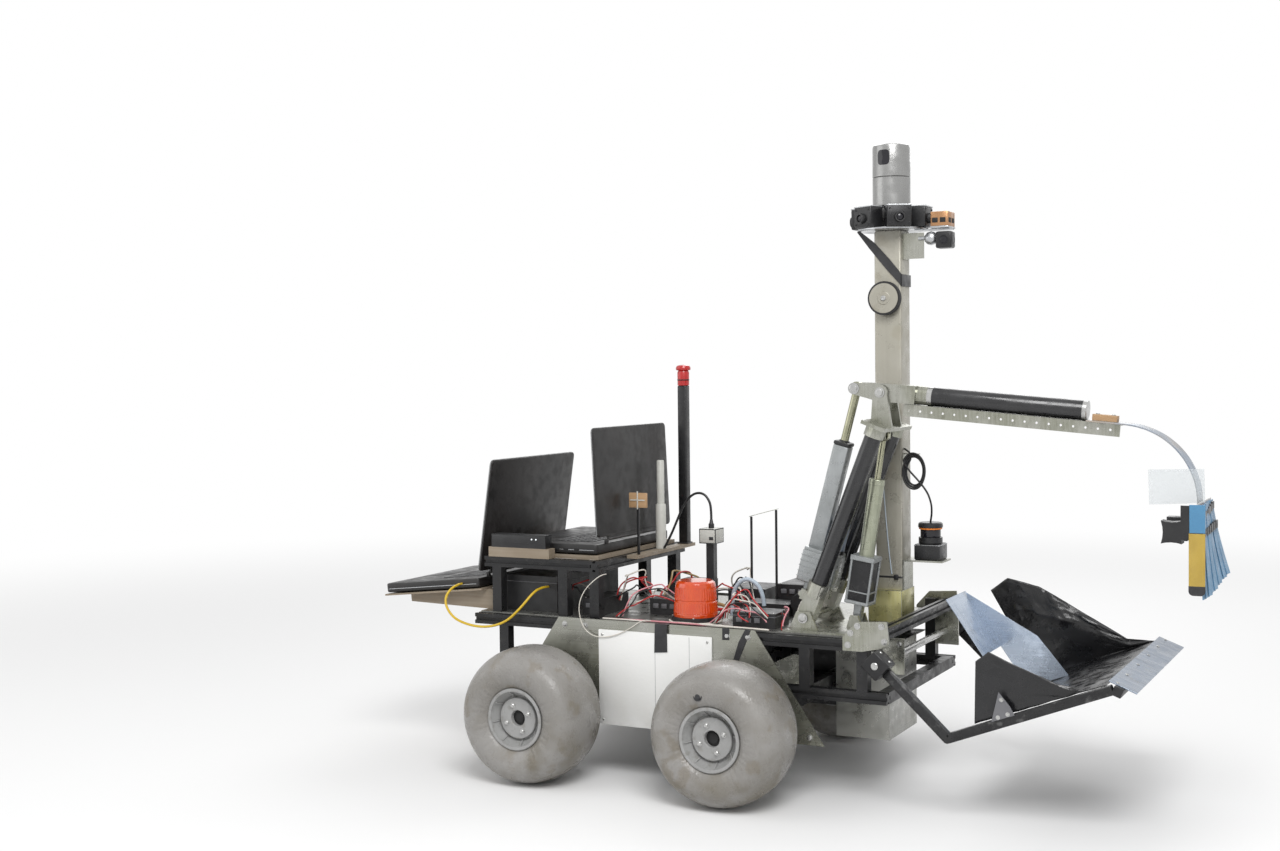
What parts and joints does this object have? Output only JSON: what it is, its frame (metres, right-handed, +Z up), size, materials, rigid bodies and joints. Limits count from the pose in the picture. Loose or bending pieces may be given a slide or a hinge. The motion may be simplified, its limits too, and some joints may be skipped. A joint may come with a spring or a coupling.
{
  "type": "planetary rover",
  "caption": "Wheeled field robot with balloon tyres, front scoop, jointed arm with a brush tool, instrument mast with range finders and a rear shelf with laptop computers.",
  "frame": {"origin": "on the floor under the middle of the overall box", "axes": "+X forward over the scoop, +Y to the rover's left, +Z up"},
  "size_m": [1.9998, 0.91, 1.4553],
  "materials": {
    "tyre": "light warm grey balloon rubber, satin, dusty",
    "hub": "light grey dished rim",
    "slotted_bar": "black anodised extrusion",
    "deck": "mill sheet",
    "side_plate": "brushed aluminium sheet, scuffed",
    "sign": "plain white board",
    "bracket": "machined, worn",
    "drive": "black gearbox and motor",
    "bin": "folded sheet",
    "battery": "black case",
    "electronics": "grey and black instrument cases",
    "post": "black post, pale antenna tube",
    "fitting": "black",
    "beacon": "translucent orange, ribbed",
    "stop": "red push button",
    "board": "thin tan board",
    "laptop": "matte black with a silver trim",
    "mast": "cream grey square tube",
    "pulley": "cream disc with a dark edge",
    "sensor": "black anodised",
    "lidar": "silver grey case",
    "motor": "black motor case",
    "camera": "black camera cases",
    "arm_block": "machined blocks",
    "arm_tube": "carbon fibre tube",
    "actuator": "light grey tube and cast gearbox",
    "piston": "ground rod",
    "boom": "black tube",
    "strap": "bent strip",
    "tool": "steel blue and black strips",
    "scoop_metal": "black square tube, worn edges",
    "blade": "scratched sheet",
    "chute": "bright sheet",
    "film": "black crinkled plastic film",
    "cable": "yellow cable"
  },
  "bodies": {
    "chassis": {"long_rails": "slotted_bar", "cross_rails": "slotted_bar", "frame_posts": "slotted_bar", "deck_plate": "deck", "side_plates": "side_plate", "sign_board": "sign", "front_plates": "bracket", "drive_units": "drive", "sample_bin": "bin", "battery_box": "battery", "electronics_boxes": "electronics", "deck_posts": "post", "deck_fittings": "fitting", "beacon_lens": "beacon", "stop_button": "stop", "shelf_rails": "slotted_bar", "shelf_boards": "board", "laptop_base_upper": "laptop", "laptop_base_lower": "laptop", "mast_tube": "mast", "mast_brackets": "bracket", "pulley": "pulley", "sensor_platform": "sensor", "head_cameras": "camera", "lidar_base": "lidar", "front_scanner": "sensor", "arm_mount": "arm_block", "yellow_cable": "cable"},
    "lidar_head": {"lidar_head": "lidar"},
    "lower_arm": {"arm_knuckles": "arm_block", "arm_tubes": "arm_tube", "elbow_bracket": "arm_block"},
    "boom": {"boom_root": "arm_block", "boom_tube": "boom", "boom_angle": "strap", "boom_strap": "strap", "tool_header": "tool", "tool_strips": "tool"},
    "elbow_actuator": {"elbow_actuator": "actuator"},
    "elbow_piston": {"elbow_piston": "piston"},
    "shoulder_actuator": {"shoulder_actuator": "motor"},
    "shoulder_piston": {"shoulder_piston": "piston"},
    "scoop": {"scoop_hinge": "scoop_metal", "scoop_frame": "scoop_metal", "scoop_blade": "blade", "scoop_chute": "chute", "scoop_film": "film"},
    "lid_upper": {"laptop_lid_upper": "laptop"},
    "lid_lower": {"laptop_lid_lower": "laptop"},
    "wheel_front_right": {"tyre_front_right": "tyre", "hub_front_right": "hub"},
    "wheel_front_left": {"tyre_front_left": "tyre", "hub_front_left": "hub"},
    "wheel_rear_right": {"tyre_rear_right": "tyre", "hub_rear_right": "hub"},
    "wheel_rear_left": {"tyre_rear_left": "tyre", "hub_rear_left": "hub"}
  },
  "joints": [
    {"name": "wheel_front_right", "type": "hinge", "parent": "chassis", "child": "wheel_front_right", "pos_m": [0.0055, -0.365, 0.157], "axis": [0, 1, 0], "continuous": true},
    {"name": "wheel_front_left", "type": "hinge", "parent": "chassis", "child": "wheel_front_left", "pos_m": [0.0055, 0.365, 0.157], "axis": [0, 1, 0], "continuous": true},
    {"name": "wheel_rear_right", "type": "hinge", "parent": "chassis", "child": "wheel_rear_right", "pos_m": [-0.4815, -0.365, 0.157], "axis": [0, 1, 0], "continuous": true},
    {"name": "wheel_rear_left", "type": "hinge", "parent": "chassis", "child": "wheel_rear_left", "pos_m": [-0.4815, 0.365, 0.157], "axis": [0, 1, 0], "continuous": true},
    {"name": "range_finder_spin", "type": "hinge", "parent": "chassis", "child": "lidar_head", "pos_m": [0.262, 0.02, 1.415], "axis": [0, 0, 1], "continuous": true},
    {"name": "shoulder", "type": "hinge", "parent": "chassis", "child": "lower_arm", "pos_m": [0.127, -0.115, 0.392], "axis": [0, -1, 0], "range_deg": [-8, 20]},
    {"name": "elbow", "type": "hinge", "parent": "lower_arm", "child": "boom", "pos_m": [0.29, -0.115, 0.891], "axis": [0, -1, 0], "range_deg": [-10, 18]},
    {"name": "shoulder_actuator_tilt", "type": "hinge", "parent": "chassis", "child": "shoulder_actuator", "pos_m": [0.223, -0.115, 0.386], "axis": [0, -1, 0], "range_deg": [-8.95, 20.87]},
    {"name": "shoulder_actuator_slide", "type": "slide", "parent": "shoulder_actuator", "child": "shoulder_piston", "axis": [0.1519, 0, 0.9884], "range_m": [-0.01436, 0.03441]},
    {"name": "elbow_actuator_tilt", "type": "hinge", "parent": "lower_arm", "child": "elbow_actuator", "pos_m": [0.103, -0.115, 0.44], "axis": [0, -1, 0], "range_deg": [-1.53, 1.29]},
    {"name": "elbow_actuator_slide", "type": "slide", "parent": "elbow_actuator", "child": "elbow_piston", "axis": [0.2583, 0, 0.9661], "range_m": [-0.02073, 0.01196]},
    {"name": "scoop", "type": "hinge", "parent": "chassis", "child": "scoop", "pos_m": [0.33, 0, 0.318], "axis": [0, -1, 0], "range_deg": [-30, 35]},
    {"name": "laptop_lid_upper", "type": "hinge", "parent": "chassis", "child": "lid_upper", "pos_m": [-0.395, -0.01, 0.542], "axis": [0, -1, 0], "range_deg": [-4, 85]},
    {"name": "laptop_lid_lower", "type": "hinge", "parent": "chassis", "child": "lid_lower", "pos_m": [-0.718, -0.022, 0.45], "axis": [0, -1, 0], "range_deg": [-8, 102]}
  ],
  "couplings": [
    {"joint": "shoulder_actuator_tilt", "follows": "shoulder", "ratio": 0.99355},
    {"joint": "shoulder_actuator_slide", "follows": "shoulder", "m_per_rad": 0.095707},
    {"joint": "elbow_actuator_tilt", "follows": "elbow", "ratio": -0.02947},
    {"joint": "elbow_actuator_slide", "follows": "elbow", "m_per_rad": -0.062796}
  ]
}
